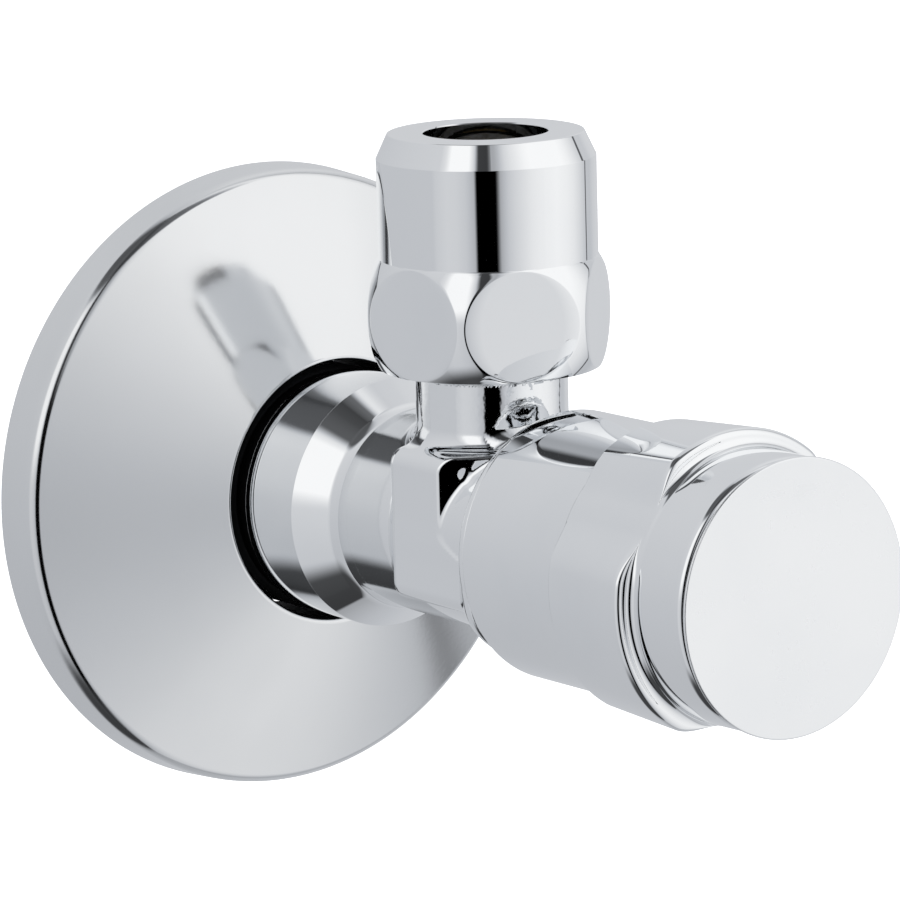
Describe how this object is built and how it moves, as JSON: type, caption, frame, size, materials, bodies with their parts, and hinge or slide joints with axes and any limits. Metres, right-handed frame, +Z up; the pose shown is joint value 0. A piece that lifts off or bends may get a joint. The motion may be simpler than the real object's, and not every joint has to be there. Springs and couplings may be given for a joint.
{
  "type": "angle stop valve",
  "caption": "Chromed angle stop valve with a round wall escutcheon, a lobed turning handle with a satin cap, and an upward compression nut outlet.",
  "frame": {"origin": "on the inlet's axis, in the plane of the wall that the escutcheon's back rim touches", "axes": "+Y runs into the wall along the inlet's axis, so the valve stands out along -Y; +Z runs up along the outlet"},
  "size_m": [0.0534, 0.0817, 0.0591],
  "materials": {
    "polished_chrome": "bright electroplated chrome, mirror polished",
    "satin_chrome": "soft satin chrome on pressed sheet",
    "satin_chrome_cap": "fine satin chrome, almost even",
    "bare_brass": "machined bare brass",
    "black_rubber": "matt black sealing rubber",
    "white_plastic": "white low-friction plastic",
    "grey_plastic": "dark grey moulded plastic",
    "stainless_steel": "plain stainless steel"
  },
  "bodies": {
    "body": {"valve_body": "polished_chrome", "inlet_seal_ring": "white_plastic", "bonnet": "bare_brass", "bonnet_seal_ring": "black_rubber"},
    "escutcheon": {"wall_escutcheon": "satin_chrome"},
    "handle": {"handle_shell": "polished_chrome", "handle_insert": "grey_plastic", "handle_screw": "stainless_steel", "cap_carrier": "white_plastic", "cap_disc": "satin_chrome_cap", "spindle": "bare_brass", "spindle_seal_ring_inner": "black_rubber", "spindle_seal_ring_outer": "black_rubber", "spindle_clip": "stainless_steel", "thrust_washer": "white_plastic"},
    "plunger": {"plunger": "bare_brass", "plunger_seal_ring": "black_rubber", "seat_washer": "black_rubber", "washer_screw": "stainless_steel"},
    "olive": {"compression_ring": "bare_brass", "pressure_ring": "bare_brass"},
    "nut": {"compression_nut": "polished_chrome"}
  },
  "joints": [
    {"name": "handle_turn", "type": "hinge", "parent": "body", "child": "handle", "pos_m": [0, -0.055, 0], "axis": [0, -1, 0], "range_deg": [0, 1080]},
    {"name": "plunger_travel", "type": "slide", "parent": "handle", "child": "plunger", "axis": [0, -1, 0], "range_m": [0, 0.00451]},
    {"name": "nut_lift", "type": "slide", "parent": "body", "child": "olive", "axis": [0, 0, 1], "range_m": [0, 0.00802]},
    {"name": "nut_turn", "type": "hinge", "parent": "olive", "child": "nut", "pos_m": [0, -0.03208, 0.0225], "axis": [0, 0, 1], "range_deg": [0, 2160]},
    {"name": "escutcheon_slide", "type": "slide", "parent": "body", "child": "escutcheon", "axis": [0, -1, 0], "range_m": [0, 0.01]}
  ],
  "couplings": [
    {"joint": "plunger_travel", "follows": "handle_turn", "m_per_rad": 0.00023873},
    {"joint": "nut_turn", "follows": "nut_lift", "rad_per_m": 4699.5}
  ]
}
